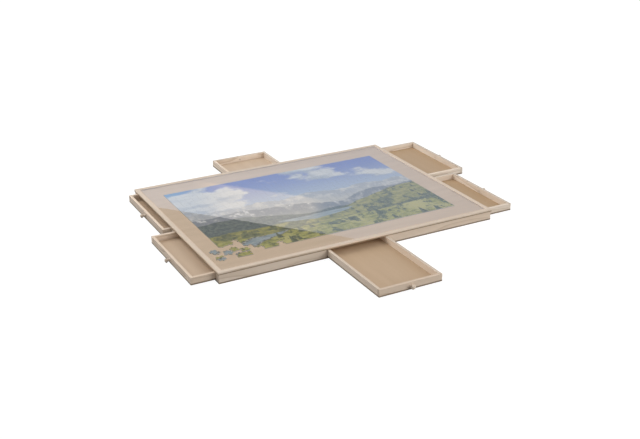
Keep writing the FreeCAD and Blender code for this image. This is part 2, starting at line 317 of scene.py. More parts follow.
# %% Dress the rims, rails, guides and drawer walls
SOLID_WOOD = ("_rim", "_rail", "_rail_left", "_rail_right", "_guide", "_stop",
              "_drawer_front", "_drawer_back", "_drawer_side_a", "_drawer_side_b")
FIRST_SEED = 100
TONES_WITH_PAINTED_LIGHT = {  # per piece: tone, warmth, painted tone of its top faces; partly paler or redder boards, partly painted light
    "left_rim": (1.05, 0.00), "right_rim": (1.07, 0.00),
    "front_rim": (1.02, 0.00), "back_rim": (0.99, -0.01),
    "front_rail_left": (1.08, 0.00), "front_rail_right": (1.05, 0.03),
    "left_back_drawer_front": (1.00, 0.02, 1.18), "left_back_drawer_side_a": (1.28, -0.01, 0.94),
    "left_front_drawer_front": (1.17, 0.02, 0.96),
    "left_front_drawer_side_a": (1.11, 0.00), "left_front_drawer_side_b": (1.05, 0.04),
    "front_drawer_front": (0.94, 0.04),
    "front_drawer_side_a": (1.18, 0.00, 0.88), "front_drawer_side_b": (1.24, -0.01, 0.76),
    "right_front_drawer_front": (1.33, -0.03, 0.73),
    "right_front_drawer_side_a": (1.15, -0.02), "right_front_drawer_side_b": (1.15, -0.03, 0.92),
    "right_back_drawer_front": (1.32, -0.05, 0.74),
    "right_back_drawer_side_a": (1.31, -0.03), "right_back_drawer_side_b": (1.28, -0.05, 0.83),
    "back_drawer_front": (1.30, -0.02, 0.73),
    "back_drawer_side_a": (1.14, -0.05), "back_drawer_side_b": (1.22, 0.00),
}

# The piece tones make whole pieces lighter or darker as painted light, on top of their board colour.
solid = [name for name in sorted(nodes) if name.endswith(SOLID_WOOD)]
for seed, name in enumerate(solid, FIRST_SEED):
    dress(nodes[name], softwood("softwood_" + name, long_axis(name), seed, *TONES_WITH_PAINTED_LIGHT.get(name, ())))
print("parts in solid wood:", len(solid))

# %% [markdown]
# ## Turned knobs
#
# A knob is turned on a lathe from the same wood with the fibres along its axis, so rings show on its
# crown. The lathe leaves fine grooves round it. A Bump node is enough for them, because they are far
# finer than a facet.

# %% Turned wood
GROOVE_PITCH = 0.0006
KNOB_FIBRES = (60, 1400, 1400)


def turned_wood(name, axis, middle, seed):
    """Softwood with lathe grooves round a knob's axis."""
    material, place, _ = new_material(name)
    straight = fibres_along(moved(place, move=tuple(-c for c in middle)), axis)
    rings, late = growth_rings(straight, own_pith(random.Random(seed), 0.1, 0.3))
    fibre = streaks(straight, KNOB_FIBRES)
    along = split(straight)[0]
    groove = (along * (2 * math.pi / GROOVE_PITCH)).math("SINE")
    grain = rings * 0.4 + (fibre - 0.5) * 0.6 + 0.15
    colour = mixed(grain.clamped(), WOOD_LIGHT, WOOD_DARK)
    colour = mixed(late * 0.4, colour, LATE_WOOD)
    surface(colour, fibre * 0.1 + 0.42, height=groove * 0.4 + fibre, relief=0.00003)
    return material


knobs = [name for name in sorted(nodes) if name.endswith("_drawer_knob")]
for seed, name in enumerate(knobs, FIRST_SEED + len(solid)):
    low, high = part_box(name)
    dress(nodes[name], turned_wood("turned_" + name, long_axis(name), (low + high) / 2, seed))
print("turned knobs:", len(knobs))

# %% [markdown]
# ## Sheet wood
#
# The board under the puzzle, the bottom panel and the drawer bottoms are thin plywood. Its faces are
# calm: one veneer with faint long streaks. Its sawn edges are darker, with the plies as thin lines.
# One material can tell a face from an edge by the direction of the surface, so every sheet gets both
# looks without a second material.

# %% Plywood
PLY = 0.00133  # thickness of one ply
BOARD_LIGHT = rgb(0.684, 0.536, 0.395)
BOARD_DARK = rgb(0.598, 0.456, 0.325)
PALE_VENEER = ((0.640, 0.500, 0.372), (0.570, 0.435, 0.315))  # its light and dark streaks
HONEY_VENEER = ((0.500, 0.348, 0.212), (0.440, 0.298, 0.172))
HONEY_SHARE = {"left_front": 0.2, "left_back": 0.3, "back": 0.1, "front": 0.72,
               "right_front": 1.0, "right_back": 0.9}
BOARD_EDGE = rgb(0.345, 0.250, 0.165)
SAWN_EDGE = rgb(0.212, 0.148, 0.092)
VENEER_STREAKS = (3, 38, 38)  # noise per metre, along the veneer and across it
PORES = (70, 1100, 1100)


def plywood(name, axis, seed, light, dark, sawn=SAWN_EDGE):
    """Thin plywood: a calm face veneer, and darker sawn edges with lines between the plies."""
    material, place, normal = new_material(name)
    sheet = moved(fibres_along(place, axis), move=own_shift(random.Random(seed)))
    streak = streaks(sheet, VENEER_STREAKS, detail=4.0, roughness=0.55)
    pore = streaks(sheet, PORES, detail=2.0)
    grain = (streak - 0.5) * 1.5 + (pore - 0.5) * 0.5 + 0.45
    face = mixed(grain.clamped(), light, dark)
    _, _, height = split(place)
    ply = (height * (1 / PLY)).math("FRACT").step(0.75, 0.95)
    edge = mixed(ply * 0.5, sawn, toned(sawn, 0.6))
    upright = split(normal)[2].math("ABSOLUTE")
    colour = mixed(upright.step(0.4, 0.8), edge, face)
    surface(colour, pore * 0.12 + 0.5, height=pore, relief=0.00004)
    return material


print("plies of %.2f mm" % (PLY * 1000))


# %% Dress the board, the bottom panel and the drawer bottoms
def between(share, first, second):
    """A colour part of the way from one to the other."""
    return rgb(*(a + (b - a) * share for a, b in zip(first[:3], second[:3])))


SHEET_SEED = 31

dress(nodes["board"], plywood("plywood_board", "X", SHEET_SEED, BOARD_LIGHT, BOARD_DARK, BOARD_EDGE))
dress(nodes["bottom_panel"], plywood("plywood_bottom_panel", "X", SHEET_SEED + 1, BOARD_LIGHT, BOARD_DARK))
for seed, (drawer, share) in enumerate(HONEY_SHARE.items(), SHEET_SEED + 2):
    name = drawer + "_drawer_bottom"
    light, dark = (between(share, *tones) for tones in zip(PALE_VENEER, HONEY_VENEER))
    dress(nodes[name], plywood("plywood_" + name, long_axis(name), seed, light, dark))
print("sheets:", 2 + len(HONEY_SHARE))

# %% [markdown]
# ## The screws
#
# Countersunk screws hold the bottom panel to the rails. The packed model has them as plain turned
# solids. Seen from below, what makes a screw a screw is the cross in its head, so one is modelled
# with it: a cone for the head, its top drawn out to a pointed shank, and a cross cut into its face
# with a Boolean modifier. It is then copied to the place of each solid.

# %% Tools for modelling
print("selected after loading:", len(bpy.context.selected_objects))


def deselect():
    """Leave nothing selected, so that the next operator works on its own object only."""
    bpy.ops.object.select_all(action="DESELECT")


def edit():
    """Go into edit mode."""
    bpy.ops.object.mode_set(mode="EDIT")


def leave_edit():
    """Go back to object mode."""
    bpy.ops.object.mode_set(mode="OBJECT")


def pick(thing):
    """Make one object the selected and active one."""
    deselect()
    thing.select_set(True)
    bpy.context.view_layer.objects.active = thing


def apply_modifier(thing, kind, **settings):
    """Add a modifier to an object and apply it at once."""
    modifier = thing.modifiers.new(kind.lower(), kind)
    for key, value in settings.items():
        setattr(modifier, key, value)
    pick(thing)
    bpy.ops.object.modifier_apply(modifier=modifier.name)


def choose_faces(thing, test):
    """In edit mode, select only the faces that pass the test."""
    bpy.ops.mesh.select_mode(type="FACE")
    bpy.ops.mesh.select_all(action="DESELECT")
    leave_edit()
    for face in thing.data.polygons:
        face.select = test(face)
    edit()


def extrude(x, y, z):
    """In edit mode, extrude what is selected by a distance."""
    bpy.ops.mesh.extrude_region_move(TRANSFORM_OT_translate={"value": (x, y, z)})


# %% Places of the screws
SINK = 0.0002  # the head's face is this far inside the panel
HEAD_RADIUS = 0.0032
SHANK_RADIUS = 0.0015
SCREW_LENGTH = 0.016
HEAD_HEIGHT = HEAD_RADIUS - SHANK_RADIUS
SAME_POINT = 0.000001  # points nearer than this are one point


def islands(node):
    """Middle points of the separate solids of a packed node, seen from above."""
    copy = node.copy()
    copy.data = node.data.copy()
    bpy.context.scene.collection.objects.link(copy)
    copy.parent = None
    pick(copy)
    edit()
    bpy.ops.mesh.select_all(action="SELECT")
    bpy.ops.mesh.remove_doubles(threshold=SAME_POINT)
    bpy.ops.mesh.separate(type="LOOSE")
    leave_edit()
    middles = []
    for part in list(bpy.context.selected_objects):
        corners = [Vector(corner) for corner in part.bound_box]
        middles.append(sum(corners, Vector()) / len(corners))
        bpy.data.meshes.remove(part.data)  # its object goes with it
    return sorted((m.x, m.y) for m in middles)


screw_places = islands(nodes["panel_screws"])
print("screws:", len(screw_places))

# %% Model one screw
CROSS_ARM = 0.0021
CROSS_WIDTH = 0.0009
CROSS_DEPTH = 0.0013
CROSS_TAPER = 0.45  # the cross's width at its bottom, as a share of its mouth
POINT_SHARE = 0.25  # the share of the shank that runs to a point
POINT_TAPER = 0.12
HEAD_BEVEL = 0.00008
FACING = 0.9  # a face whose normal has this much of a direction faces that way


def faces_up(face):
    """Whether a face looks straight up."""
    return face.normal.z > FACING


def cross_cutter():
    """A cross that gets narrower as it goes up into the head."""
    deselect()
    bpy.ops.mesh.primitive_cube_add(size=CROSS_WIDTH, location=(0, 0, 0))
    cutter = bpy.context.object
    edit()
    reach = CROSS_ARM - CROSS_WIDTH / 2
    for x, y in ((1, 0), (-1, 0), (0, 1), (0, -1)):
        choose_faces(cutter, lambda face: face.normal.x * x + face.normal.y * y > FACING)
        extrude(x * reach, y * reach, 0)
    choose_faces(cutter, faces_up)
    bpy.ops.transform.translate(value=(0, 0, CROSS_DEPTH - CROSS_WIDTH / 2))
    bpy.ops.transform.resize(value=(CROSS_TAPER, CROSS_TAPER, 1))
    leave_edit()
    return cutter


def one_screw():
    """A countersunk screw at the origin, its head's face down at z = 0."""
    deselect()
    bpy.ops.mesh.primitive_cone_add(vertices=32, radius1=HEAD_RADIUS, radius2=SHANK_RADIUS,
                                    depth=HEAD_HEIGHT, location=(0, 0, HEAD_HEIGHT / 2))
    screw = bpy.context.object
    bpy.ops.object.transform_apply(location=True)
    edit()
    choose_faces(screw, faces_up)
    shank = SCREW_LENGTH - HEAD_HEIGHT
    extrude(0, 0, shank * (1 - POINT_SHARE))
    extrude(0, 0, shank * POINT_SHARE)
    bpy.ops.transform.resize(value=(POINT_TAPER, POINT_TAPER, 1))
    leave_edit()
    cutter = cross_cutter()
    apply_modifier(screw, "BOOLEAN", object=cutter, operation="DIFFERENCE", solver="EXACT")
    bpy.data.objects.remove(cutter)
    apply_modifier(screw, "BEVEL", width=HEAD_BEVEL, segments=1, angle_limit=math.radians(40))
    return screw


model_screw = one_screw()
print("faces of one screw:", len(model_screw.data.polygons))

# %% Zinc-plated steel
ZINC = (rgb(0.62, 0.63, 0.64), rgb(0.46, 0.47, 0.49))


def zinc_steel(name):
    """Bright zinc with a faint mottle."""
    material, place, _ = new_material(name)
    mottle = noise(place, 900.0, detail=4.0)
    surface(mixed(mottle, *ZINC), mottle * 0.2 + 0.24, height=mottle, relief=0.00002, metallic=1.0)
    return material


dress(model_screw, zinc_steel("zinc_steel"))
print("screw dressed in", model_screw.data.materials[0].name)

# %% Copy the screw to every place
TURN_SEED = 7

turns = random.Random(TURN_SEED)
copies = []
for x, y in screw_places:
    pick(model_screw)
    bpy.ops.object.duplicate(linked=False)
    copy = bpy.context.object
    copy.location = (x, y, SINK)
    copy.rotation_euler = (0, 0, turns.uniform(0, math.pi))
    bpy.ops.object.transform_apply()
    copies.append(copy)
bpy.data.objects.remove(model_screw)
deselect()
for copy in copies:
    copy.select_set(True)
bpy.context.view_layer.objects.active = copies[0]
bpy.ops.object.join()
screws = bpy.context.object
screws.name = "cross_head_screws"
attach(screws, "table")
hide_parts("panel_screws")
print("screw faces:", len(screws.data.polygons))

# %% [markdown]
# ## Cutting the puzzle
#
# A die stamps the printed card into 34 by 22 pieces in one stroke. Modelled the same way, the puzzle
# starts as one grid. Its lines are moved into the wavy cuts, each with a round tab in the middle, and
# only then it is split into pieces. A neighbour's tab then always fits, which pieces made one by one
# would not do. Each cut varies a little, as on a real die. The tabs point left and right on one
# piece, up and down on the next.

# %% Sizes of the pieces
COLUMNS = 34
ROWS = 22
STEPS = 14  # points along one side of a piece
TAB_NECK = 0.17  # shares of the side that carries the tab
TAB_HEIGHT = 0.24
CUT_WIDTH = 0.0003
ON_LINE = 1e-3  # a point this near to a line of the grid, in pieces, is on it
OPEN_CELLS = {0: (0, 1, 2, 3, 4, 7), 1: (0, 1, 2, 3), 2: (0, 1, 2), 3: (2,)}  # row: columns

puzzle_low, puzzle_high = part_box("puzzle")
piece_x = (puzzle_high.x - puzzle_low.x) / COLUMNS
piece_y = (puzzle_high.y - puzzle_low.y) / ROWS
card = puzzle_high.z - puzzle_low.z


def on_board(column, row, height=0.0):
    """A place over the board, counted in pieces from the puzzle's corner."""
    return Vector((puzzle_low.x + column * piece_x, puzzle_low.y + row * piece_y, height))


print("one piece is %.1f x %.1f mm" % (piece_x * 1000, piece_y * 1000))


# %% The wavy side of a piece
def tab_points(neck=TAB_NECK, height=TAB_HEIGHT, lean=0.0, wave=0.0):
    """Points of a side of length 1 as (along, out), from corner to corner.

    The tab is most of a circle that stands on its neck in the middle of the side.
    """
    radius = (height ** 2 + (neck / 2) ** 2) / (2 * height)
    open_half = math.asin(neck / 2 / radius)
    turns = STEPS - 6  # the rest of the points lie on the straight parts
    tab = []
    for i in range(turns + 1):
        angle = -math.pi / 2 - open_half - (2 * math.pi - 2 * open_half) * i / turns
        along = 0.5 + lean + radius * math.cos(angle)
        tab.append((along, height - radius + radius * math.sin(angle)))
    before = [(share * tab[0][0], wave * math.sin(share * math.pi)) for share in (0, 1 / 3, 2 / 3)]
    rest = 1 - tab[-1][0]
    after = [(1 - share * rest, -wave * math.sin(share * math.pi)) for share in (2 / 3, 1 / 3, 0)]
    return before + tab + after


NECK_SPREAD = (0.9, 1.1)  # how much the cuts of a die vary, as shares
HEIGHT_SPREAD = (0.9, 1.08)
LEAN = 0.03
WAVE = 0.025


def own_tab(chance):
    """The neck and height of one tab, a little more or less than usual."""
    return TAB_NECK * chance.uniform(*NECK_SPREAD), TAB_HEIGHT * chance.uniform(*HEIGHT_SPREAD)


def own_cut(chance):
    """One of the die's cuts: its tab a little larger, smaller or off the middle."""
    return tab_points(*own_tab(chance), chance.uniform(-LEAN, LEAN), chance.uniform(-WAVE, WAVE))


print("points along a side:", len(tab_points()))


# %% A grid with a line for every cut
def cut_grid():
    """A flat grid of pieces, each side divided into steps, with nothing inside a piece."""
    deselect()
    bpy.ops.mesh.primitive_grid_add(x_subdivisions=COLUMNS * STEPS, y_subdivisions=ROWS * STEPS, size=1)
    grid = bpy.context.object
    edit()
    bpy.ops.mesh.select_mode(type="EDGE")
    bpy.ops.mesh.select_all(action="DESELECT")
    leave_edit()
    points = grid.data.vertices
    for line in grid.data.edges:
        a, b = (points[i].co for i in line.vertices)
        place = (a.x + 0.5) * COLUMNS if abs(a.x - b.x) < SAME_POINT else (a.y + 0.5) * ROWS
        line.select = abs(place - round(place)) > ON_LINE
    edit()
    bpy.ops.mesh.dissolve_edges(use_verts=False)
    leave_edit()
    return grid


puzzle = cut_grid()
print("pieces before cutting:", len(puzzle.data.polygons), "points:", len(puzzle.data.vertices))

# %% Move the lines into the wavy cuts
DIE_SEED = 5


def bend_cuts(grid):
    """Put every point of the grid on its cut, and the whole grid on the board."""
    chance = random.Random(DIE_SEED)
    across = {(c, r): own_cut(chance) for r in range(1, ROWS) for c in range(COLUMNS)}
    upward = {(c, r): own_cut(chance) for c in range(1, COLUMNS) for r in range(ROWS)}
    for point in grid.data.vertices:
        column = (point.co.x + 0.5) * COLUMNS
        row = (point.co.y + 0.5) * ROWS
        c, r = round(column), round(row)
        if abs(row - r) < ON_LINE and 0 < r < ROWS and abs(column - c) > ON_LINE:
            c = int(column)
            along, out = across[c, r][round((column - c) * STEPS)]
            column, row = c + along, r + out * (1 if (c + r) % 2 == 0 else -1)
        elif abs(column - c) < ON_LINE and 0 < c < COLUMNS and abs(row - r) > ON_LINE:
            r = int(row)
            along, out = upward[c, r][round((row - r) * STEPS)]
            column, row = c + out * (1 if (c + r) % 2 else -1), r + along
        point.co = on_board(column, row, puzzle_high.z)


open_faces = set()
for face in puzzle.data.polygons:
    cell = (int((face.center.x + 0.5) * COLUMNS), int((face.center.y + 0.5) * ROWS))
    if cell[0] in OPEN_CELLS.get(cell[1], ()):
        open_faces.add(face.index)
bend_cuts(puzzle)
print("places still open:", len(open_faces))

# %% Take out the open places, split the pieces and give them their thickness
pick(puzzle)
edit()
choose_faces(puzzle, lambda face: face.index in open_faces)
bpy.ops.mesh.delete(type="FACE")
bpy.ops.mesh.select_all(action="SELECT")
bpy.ops.mesh.edge_split(type="EDGE")
bpy.ops.mesh.inset(thickness=CUT_WIDTH / 2, use_individual=True)
bpy.ops.mesh.select_all(action="INVERT")
bpy.ops.mesh.delete(type="FACE")
leave_edit()
apply_modifier(puzzle, "SOLIDIFY", thickness=card, offset=-1.0)
puzzle.name = "cut_puzzle"
print("laid puzzle faces:", len(puzzle.data.polygons))

# %% [markdown]
# ## Loose pieces
#
# Seven pieces still lie in and beside the open corner, two of them already joined. Each is a plane
# whose four sides are divided and moved into tabs (1), sockets (-1) or a straight border (0), then
# filled, made as thick as the card, turned and put in its place. Its sides are listed from the front
# one round. The cut of a loose piece has no lean, so that the joined pair can share it.

# %% Where the loose pieces lie
LOOSE_PIECES = (  # column, row, turn in degrees, 1 if joined to the one before, sides
    (-1.00, 1.93, 24.0, 0, (1, -1, 1, -1)),
    (0.38, 1.08, -12.0, 0, (-1, 1, 1, -1)),
    (-0.95, 0.10, 8.0, 0, (1, -1, -1, 1)),
    (1.55, 1.58, 12.0, 0, (-1, -1, 1, -1)),
    (2.68, 0.97, -8.0, 0, (-1, 1, -1, -1)),
    (1.57, -0.15, -3.0, 0, (0, 1, 1, -1)),
    (1.57, -0.15, -3.0, 1, (0, -1, -1, -1)),
)
HOME_CELLS = ((0, 0), (1, 1), (2, 2), (2, 3), (0, 2), (3, 0), (4, 0))  # whose print each carries


def lying_place(column, row, turn, second):
    """How a loose piece moves from the table's middle to where it lies."""
    turned = Matrix.Rotation(math.radians(turn), 4, "Z") @ Matrix.Translation((second * piece_x, 0, 0))
    return Matrix.Translation(on_board(column, row)) @ turned


print("pieces by the open corner:", len(LOOSE_PIECES))

# %% Model the loose pieces
SIDES = (((-0.5, -0.5), (1, 0)), ((0.5, -0.5), (0, 1)), ((0.5, 0.5), (-1, 0)), ((-0.5, 0.5), (0, -1)))


def bent(point, sides, cut):
    """Where a point on the border of a unit square goes when its side gets a tab or a socket."""
    for (start, along), sign in zip(SIDES, sides):
        share = (point.x - start[0]) * along[0] + (point.y - start[1]) * along[1]
        off = (point.x - start[0]) * along[1] - (point.y - start[1]) * along[0]
        if abs(off) < ON_LINE and ON_LINE < share < 1 - ON_LINE and sign:
            forward, out = cut[round(share * STEPS)]
            x = start[0] + along[0] * forward + along[1] * out * sign
            y = start[1] + along[1] * forward - along[0] * out * sign
            return (x, y, 0)
    return tuple(point)


def loose_piece(number, column, row, turn, second, sides):
    """One loose piece, cut, filled, thickened and laid on the board."""
    cut = tab_points(*own_tab(random.Random(int(100 * column))))  # a joined pair shares its column
    deselect()
    bpy.ops.mesh.primitive_plane_add(size=1)
    piece = bpy.context.object
    edit()
    bpy.ops.mesh.delete(type="ONLY_FACE")
    bpy.ops.mesh.select_all(action="SELECT")
    bpy.ops.mesh.subdivide(number_cuts=STEPS - 1)
    leave_edit()
    for point in piece.data.vertices:
        point.co = bent(point.co, sides, cut)
    edit()
    bpy.ops.mesh.select_all(action="SELECT")
    bpy.ops.mesh.edge_face_add()
    bpy.ops.mesh.normals_make_consistent(inside=False)
    leave_edit()
    if piece.data.polygons[0].normal.z < 0:
        piece.data.flip_normals()
    piece.scale = (piece_x, piece_y, 1)
    bpy.ops.object.transform_apply(location=False, rotation=False, scale=True)
    apply_modifier(piece, "SOLIDIFY", thickness=card, offset=-1.0)
    piece.matrix_world = Matrix.Translation((0, 0, puzzle_high.z)) @ lying_place(column, row, turn, second)
    bpy.ops.object.transform_apply()
    piece.name = "loose_piece_%d" % (number + 1)
    return piece


loose = [loose_piece(number, *piece) for number, piece in enumerate(LOOSE_PIECES)]
print("loose pieces:", len(loose), "faces each:", len(loose[0].data.polygons))

# %% [markdown]
# ## The printed picture
#
# The print is a landscape of its own kind: a blue sky with clouds, two hazy ranges, wooded hills, a
# lake, and meadows with conifers and a brook. It is painted back to front, like a stage set. Every
# layer is a ridge line, that is a height that changes with the way along the picture, and it covers
# what lies behind it. The whole picture is one node group, so that the laid pieces and the loose ones
# share it.

# %% Tools for the picture
PICTURE_HEIGHT = puzzle_high.y - puzzle_low.y


def ridge(place, level, sway, scale, seed, detail=4.0):
    """Height of a ridge line along the picture."""
    x = split(place)[0]
    line = joined(place.tree, x, seed, 0.0)
    return (noise(line, scale, detail=detail, roughness=0.55) - 0.5) * (2 * sway) + level


def covered(behind, crest, y, layer, blur=0.005):
    """What lies behind, covered by a layer below a ridge line."""
    return mixed((crest - y).step(0.0, blur), behind, layer)


print("height of the picture: %.3f m" % PICTURE_HEIGHT)

# %% Fir trees
TIERS = 5  # rows of branches on a fir
FIR = (rgb(0.145, 0.170, 0.100), rgb(0.055, 0.070, 0.055))  # lit and in shade


def conifers(place, scale, height, seed):
    """Fir trees scattered in a loose pattern: 1 on a tree, and how much of it lies in shade."""
    shifted = moved(place, move=(seed, seed, 0))
    foot = add_node(place.tree, "TexVoronoi", {"Vector": shifted, "Scale": scale, "Randomness": 0.75},
                    "Position", voronoi_dimensions="2D")
    x, y, _ = split(shifted)
    foot_x, foot_y, _ = split(foot)
    chance = split(foot.other_output("Color"))
    tall = chance[0] * (height * 0.5) + height * 0.6
    up = y - foot_y + tall * 0.5
    beside = x - foot_x
    tier = (up * (TIERS / height)).math("FRACT")
    branches = (tall - up) * (tier * -0.16 + 0.34)
    ragged = noise(place, 260.0, detail=2.0) * (height * 0.10)
    inside = (branches + ragged - beside.math("ABSOLUTE")).step(0.0, height * 0.06)
    standing = inside * up.step(0.0, height * 0.05) * chance[1].step(0.25, 0.3)
    shade = beside.step(-height * 0.15, height * 0.2) * 0.6 + tier.step(0.7, 0.0) * 0.4
    return standing, shade


print("rows of branches on a fir:", TIERS)

# %% Sky and far ranges
SKY = (rgb(0.44, 0.51, 0.60), rgb(0.205, 0.255, 0.53))  # low and high
SKY_LEFT = rgb(0.24, 0.42, 0.60)
CLOUD = (rgb(0.40, 0.44, 0.50), rgb(0.66, 0.66, 0.65))  # in shade and lit
FAR_ROCK = (rgb(0.42, 0.44, 0.47), rgb(0.60, 0.59, 0.57))
FAR_FOOT = rgb(0.52, 0.51, 0.48)
NEAR_ROCK = (rgb(0.25, 0.27, 0.30), rgb(0.43, 0.43, 0.42))
NEAR_FOOT = rgb(0.38, 0.39, 0.36)
SNOW = rgb(0.66, 0.66, 0.66)


def sky(place):
    """Deep blue at the top, pale near the horizon, with large heaped clouds on the left."""
    x, y, _ = split(place)
    blue = mixed(y.step(0.50, 0.98), *SKY)
    blue = mixed(x.step(0.0, 0.35) * -0.8 + 0.8, blue, SKY_LEFT)
    banks = moved(place, move=(3.1, 1.7, 0), scale=(1.0, 1.5, 1))
    puff = noise(banks, 2.3, detail=8.0, roughness=0.55)
    lower = noise(moved(banks, move=(0.03, 0.07, 0)), 2.3, detail=6.0, roughness=0.52)
    cover = puff + (y - 0.80).math("ABSOLUTE") * -0.35 + x.step(1.35, 0.35) * 0.10
    light = (puff - lower).step(-0.12, 0.06)
    return mixed(cover.step(0.50, 0.57), blue, mixed(light, *CLOUD))


def far_ranges(place, behind):
    """Two hazy ranges with pale rock faces and snow, the nearer one darker."""
    x, y, _ = split(place)
    rock = noise(moved(place, scale=(1, 0.7, 1)), 16.0, detail=7.0, roughness=0.68)
    crest = ridge(place, 0.60, 0.16, 2.0, 11.3, detail=7.0)
    far = mixed(rock.step(0.46, 0.60), *FAR_ROCK)
    far = mixed((crest - y).step(0.03, 0.20), far, FAR_FOOT)
    colour = covered(behind, crest, y, far, blur=0.008)
    crest = ridge(place, 0.47, 0.18, 1.5, 4.4, detail=7.0) + x.step(0.9, 0.2) * 0.05
    near = mixed(rock.step(0.50, 0.62), *NEAR_ROCK)
    near = mixed((rock + (y - 0.45) * 0.5).step(0.60, 0.64), near, SNOW)
    near = mixed((crest - y).step(0.05, 0.22), near, NEAR_FOOT)
    return covered(colour, crest, y, near)


print("snow is %.2f times as light as rock" % (SNOW[1] / NEAR_ROCK[0][1]))

# %% Hills and lake
FAR_WOOD = (rgb(0.20, 0.23, 0.20), rgb(0.10, 0.13, 0.14))  # lit and dark
THICKET = (rgb(0.24, 0.25, 0.13), rgb(0.115, 0.135, 0.090))
SLOPE = (rgb(0.24, 0.245, 0.10), rgb(0.43, 0.39, 0.15))
WATER = (rgb(0.24, 0.30, 0.325), rgb(0.37, 0.42, 0.435))


def wooded(place, trees, lit, dark):
    """Ground under dense wood: small firs before mottled leaves."""
    leaf = noise(place, 34.0, detail=6.0, roughness=0.72)
    ground = mixed(leaf.step(0.40, 0.62), dark, lit)
    standing, shade = conifers(place, trees, 0.9 / trees, 5.2)
    tree_tone = mixed(shade, between(0.45, dark, lit), toned(dark, 0.6))
    return mixed(standing * 0.8, ground, tree_tone)


def water(place):
    """Grey-blue water with flat ripples."""
    ripple = noise(moved(place, scale=(1, 14, 1)), 9.0)
    return mixed(ripple.step(0.4, 0.6), *WATER)


def hills_and_lake(place, behind):
    """Wooded hills on both sides of a lake."""
    x, y, _ = split(place)
    crest = ridge(place, 0.33, 0.07, 2.2, 8.2) + (x - 0.2).step(0.5, 0.0) * 0.12
    colour = covered(behind, crest, y, wooded(place, 30.0, *FAR_WOOD), blur=0.008)
    tuft = noise(moved(place, scale=(1, 1.6, 1)), 20.0, detail=6.0, roughness=0.7)
    grove = noise(moved(place, move=(0.7, 0.2, 0)), 4.5, detail=7.0, roughness=0.62).step(0.50, 0.53)
    slope = mixed(grove, mixed(tuft.step(0.38, 0.64), *SLOPE), wooded(place, 26.0, *THICKET))
    crest = ridge(place, 0.27, 0.05, 2.6, 2.9) + (x - 0.55).step(0.1, 0.9) * 0.18
    standing, shade = conifers(place, 15.0, 0.050, 8.1)
    standing = standing * (crest - y).step(-0.02, 0.0) * x.step(0.75, 0.95)
    slope = mixed(standing, slope, mixed(shade, *FIR))
    colour = covered(colour, crest, y, slope)
    water_line = (noise(place, 7.0, detail=4.0) - 0.5) * 0.05
    far_shore = y - 0.292 - water_line * 0.4
    off = x - 0.70
    near_shore = y - (off * off * 0.85 + 0.232) - water_line
    inside = far_shore.step(0.002, -0.002) * near_shore.step(-0.002, 0.002)
    return mixed(inside, colour, water(place))


print("water is %.2f times as light as wood" % (WATER[0][1] / FAR_WOOD[0][1]))

# %% Meadow
GRASS = (rgb(0.24, 0.25, 0.085), rgb(0.46, 0.43, 0.15))
DRY_GRASS = rgb(0.50, 0.46, 0.19)
LEAVES = (rgb(0.075, 0.095, 0.070), rgb(0.17, 0.20, 0.11))
PEBBLES = (rgb(0.10, 0.11, 0.10), rgb(0.40, 0.40, 0.38))


def meadow(place, behind):
    """Sunny meadows in front with bushes and firs, and a brook that runs to the left corner."""
    x, y, _ = split(place)
    tuft = noise(moved(place, scale=(1, 2.2, 1)), 22.0, detail=6.0, roughness=0.68)
    grass = mixed(tuft.step(0.38, 0.62), *GRASS)
    grass = mixed(noise(place, 4.0).step(0.48, 0.60), grass, DRY_GRASS)
    bush = noise(place, 12.0, detail=7.0, roughness=0.68).step(0.54, 0.57)
    grass = mixed(bush * 0.9, grass, mixed(tuft.step(0.4, 0.6), *LEAVES))
    bend = (noise(place, 5.0, detail=2.0) - 0.5) * 0.10
    beside = (y - (x * 0.34 + 0.035) - bend * x.step(0.0, 0.2)).math("ABSOLUTE")
    width = (x * -0.04 + 0.036) * x.step(0.62, 0.50)
    stones = mixed(noise(place, 60.0).step(0.4, 0.6), *PEBBLES)
    grass = mixed((width * 1.6 - beside + tuft * 0.03).step(0.014, 0.020), grass, stones)
    grass = mixed((width - beside).step(-0.002, 0.002), grass, water(place))
    crest = ridge(place, 0.17, 0.045, 2.6, 6.6)
    colour = covered(behind, crest, y, grass)
    standing, shade = conifers(place, 8.0, 0.095, 2.3)
    near = standing * (crest - y).step(-0.03, 0.0) * noise(place, 3.1, detail=1.0).step(0.40, 0.46)
    return mixed(near * x.step(0.25, 0.30), colour, mixed(shade, *FIR))


print("grass is %.2f times as light as leaves" % (GRASS[0][1] / LEAVES[0][1]))


# %% The landscape group
def landscape():
    """The picture as a node group, from a place on the board to a colour."""
    group = bpy.data.node_groups.new("landscape", "ShaderNodeTree")
    group.interface.new_socket("Place", in_out="INPUT", socket_type="NodeSocketVector")
    group.interface.new_socket("Color", in_out="OUTPUT", socket_type="NodeSocketColor")
    source = group.nodes.new("NodeGroupInput")
    target = group.nodes.new("NodeGroupOutput")
    size = 1 / PICTURE_HEIGHT
    corner = (-puzzle_low.x * size, -puzzle_low.y * size, 0)
    place = moved(Wire(group, source.outputs["Place"]), move=corner, scale=(size, size, 0))
    colour = far_ranges(place, sky(place))
    colour = meadow(place, hills_and_lake(place, colour))
    plug(group, target.inputs["Color"], colour)
    return group


picture = landscape()
print("nodes in the picture:", len(picture.nodes))

# %% Printed card
CARD_SIDE = (rgb(0.60, 0.58, 0.55), rgb(0.46, 0.44, 0.41))


